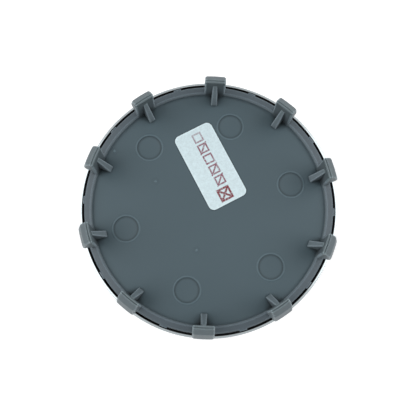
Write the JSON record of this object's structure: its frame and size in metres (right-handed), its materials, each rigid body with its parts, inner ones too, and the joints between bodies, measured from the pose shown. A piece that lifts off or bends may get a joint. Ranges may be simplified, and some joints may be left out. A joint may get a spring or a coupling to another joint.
{
  "type": "wheel centre cap",
  "caption": "Round snap-in centre cap for a car wheel: a moulded base with a ring of hooked snap clips and gusset ribs, pressed into a thin silver face cover.",
  "frame": {"origin": "centre of the front face's plane, so the cap rests face down on z = 0", "axes": "+Z from the front to the clips, along the cap's axis; +X through the middle of one clip"},
  "size_m": [0.064, 0.064, 0.0143],
  "materials": {
    "moulded_grey": "injection moulded, satin, with fine flow marks",
    "silver_shell": "silver lacquer over moulded plastic",
    "paper_label": "thin coated paper with a dark red stamp"
  },
  "bodies": {
    "root": {"clip_base": "moulded_grey", "face_cover": "silver_shell", "paper_sticker": "paper_label"}
  },
  "joints": []
}
